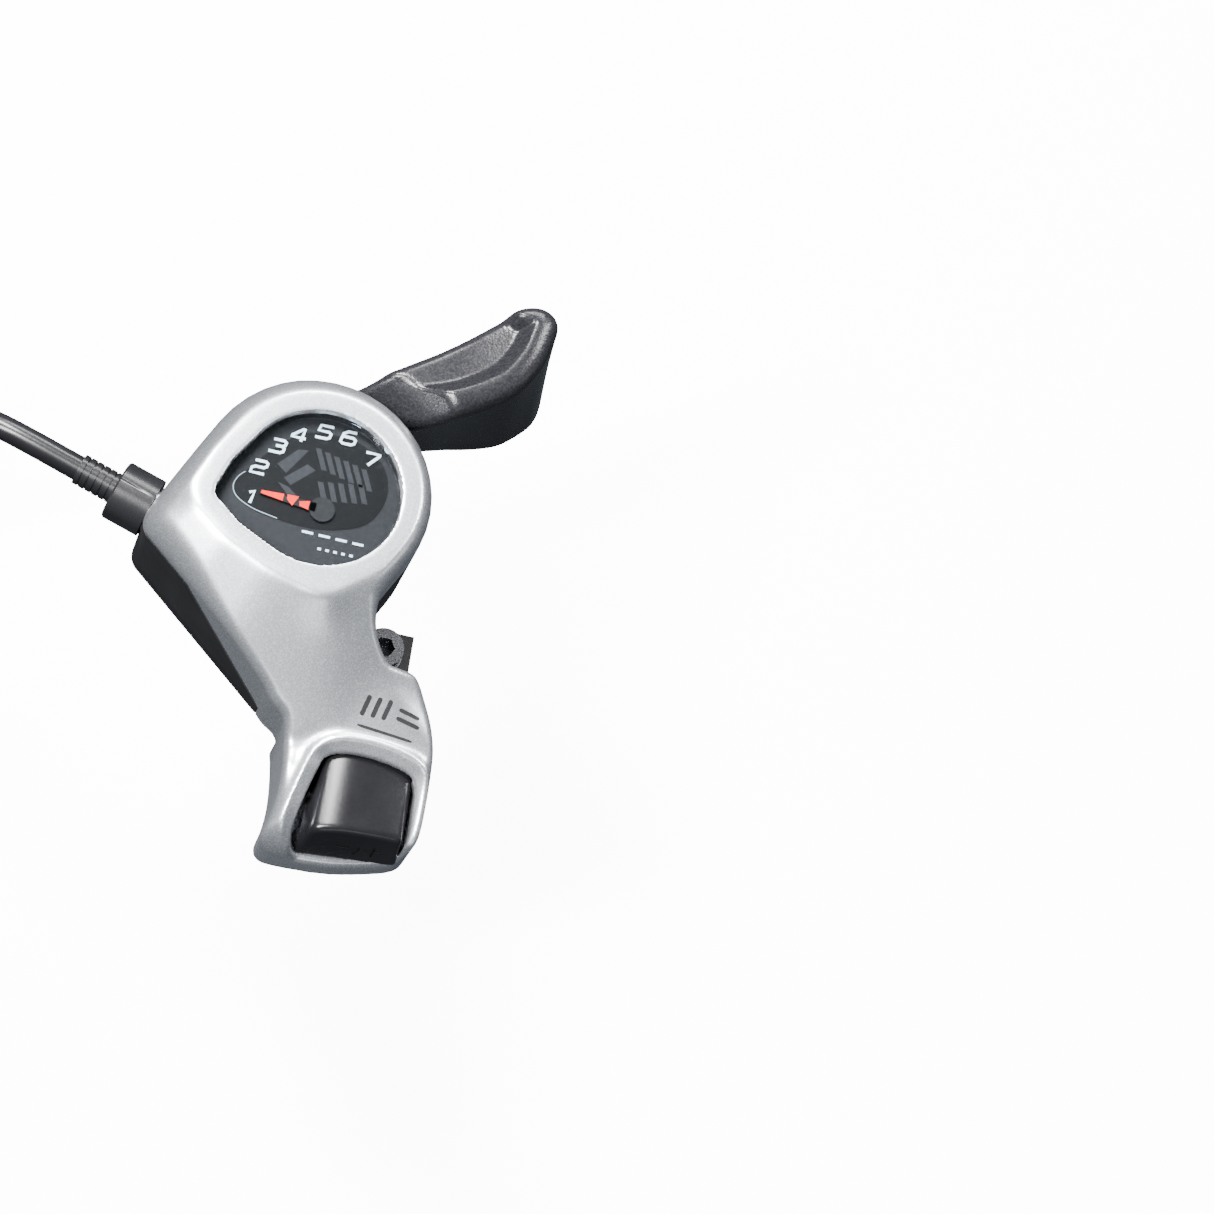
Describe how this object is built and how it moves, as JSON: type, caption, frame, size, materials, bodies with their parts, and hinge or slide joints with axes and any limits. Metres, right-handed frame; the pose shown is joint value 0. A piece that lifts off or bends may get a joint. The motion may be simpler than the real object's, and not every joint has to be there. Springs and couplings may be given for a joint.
{
  "type": "bicycle thumb shifter",
  "caption": "Right-hand bicycle thumb shifter: silver cover with a gear display, thumb lever, release button, bar clamp, cable adjuster and casing.",
  "frame": {"origin": "centre of the handlebar clamp bore, on the bar's axis", "axes": "+X along the bar towards the right-hand grip, +Y away from the rider, +Z out of the gear display"},
  "size_m": [0.1593, 0.0915, 0.1018],
  "materials": {
    "silver_paint": "metallic silver lacquer, satin gloss",
    "lens": "clear moulded window, glossy",
    "dial": "printed dial, satin",
    "base_black": "fine matte texture",
    "clamp_black": "black powder coat",
    "screw_black": "black oxide",
    "zinc_steel": "zinc plated",
    "lever_black": "leather grain, semi gloss",
    "pressed_steel": "pressed and barrelled",
    "spool_grey": "moulded nylon",
    "spring_steel": "spring steel",
    "needle_red": "fluorescent red-orange print",
    "button_black": "satin gloss with a fine grain",
    "adjuster_black": "fine grain, satin",
    "wire_steel": "drawn stainless wire",
    "casing_black": "smooth satin jacket",
    "tie_black": "nylon tie",
    "ferrule_metal": "plain turned"
  },
  "bodies": {
    "housing": {"top_cover": "silver_paint", "window_lens": "lens", "dial_plate": "dial", "base_housing": "base_black", "bottom_cover": "base_black", "port_plug": "base_black", "cover_screws": "screw_black", "base_screws": "zinc_steel", "cover_cap_screw": "screw_black", "clamp_ring": "clamp_black", "clamp_screw": "screw_black", "clamp_nut": "zinc_steel", "clamp_washer": "zinc_steel", "main_axle": "zinc_steel", "axle_nut": "zinc_steel", "axle_washer": "zinc_steel", "axle_clip": "zinc_steel", "pawl_pin": "zinc_steel", "pawl_spring": "spring_steel", "index_spring": "spring_steel", "index_screw": "screw_black", "return_spring": "spring_steel", "button_spring": "spring_steel", "adjuster_spring": "spring_steel", "inner_wire": "wire_steel", "casing_nose": "adjuster_black", "cable_casing": "casing_black", "casing_coil": "casing_black", "coil_tie": "tie_black", "end_ferrule": "ferrule_metal"},
    "lever": {"thumb_lever": "lever_black", "lever_plate": "pressed_steel", "ratchet_wheel": "pressed_steel", "cable_spool": "spool_grey", "needle_pin": "zinc_steel", "cable_nipple": "zinc_steel"},
    "needle": {"needle_crank": "spool_grey", "gear_needle": "needle_red"},
    "pawl": {"holding_pawl": "pressed_steel"},
    "button": {"release_button": "button_black", "release_rod": "pressed_steel"},
    "adjuster": {"barrel_adjuster": "adjuster_black"}
  },
  "joints": [
    {"name": "lever_turn", "type": "hinge", "parent": "housing", "child": "lever", "pos_m": [-0.016, 0.0295, 0.02], "axis": [0, 0, 1], "range_deg": [-81, 0], "deforming": ["return_spring", "inner_wire", "index_spring"]},
    {"name": "needle_turn", "type": "hinge", "parent": "housing", "child": "needle", "pos_m": [-0.015, 0.0266, 0.033], "axis": [0, 0, 1], "range_deg": [-122, 0]},
    {"name": "button_push", "type": "slide", "parent": "housing", "child": "button", "axis": [0, 1, 0], "range_m": [0, 0.0045], "stiffness_N_per_m": 400, "springref_m": -0.002, "deforming": ["button_spring"]},
    {"name": "pawl_lift", "type": "hinge", "parent": "housing", "child": "pawl", "pos_m": [-0.016, 0.0115, 0.02], "axis": [0, 0, 1], "range_deg": [-11, 0], "deforming": ["pawl_spring"]},
    {"name": "adjuster_turn", "type": "hinge", "parent": "housing", "child": "adjuster", "pos_m": [-0.04004, 0.02443, 0.0244], "axis": [-0.9511, 0.309, 0], "range_deg": [0, 1080]}
  ],
  "couplings": [
    {"joint": "needle_turn", "follows": "lever_turn", "ratio": 1.5},
    {"joint": "pawl_lift", "follows": "button_push", "rad_per_m": -38.8}
  ]
}
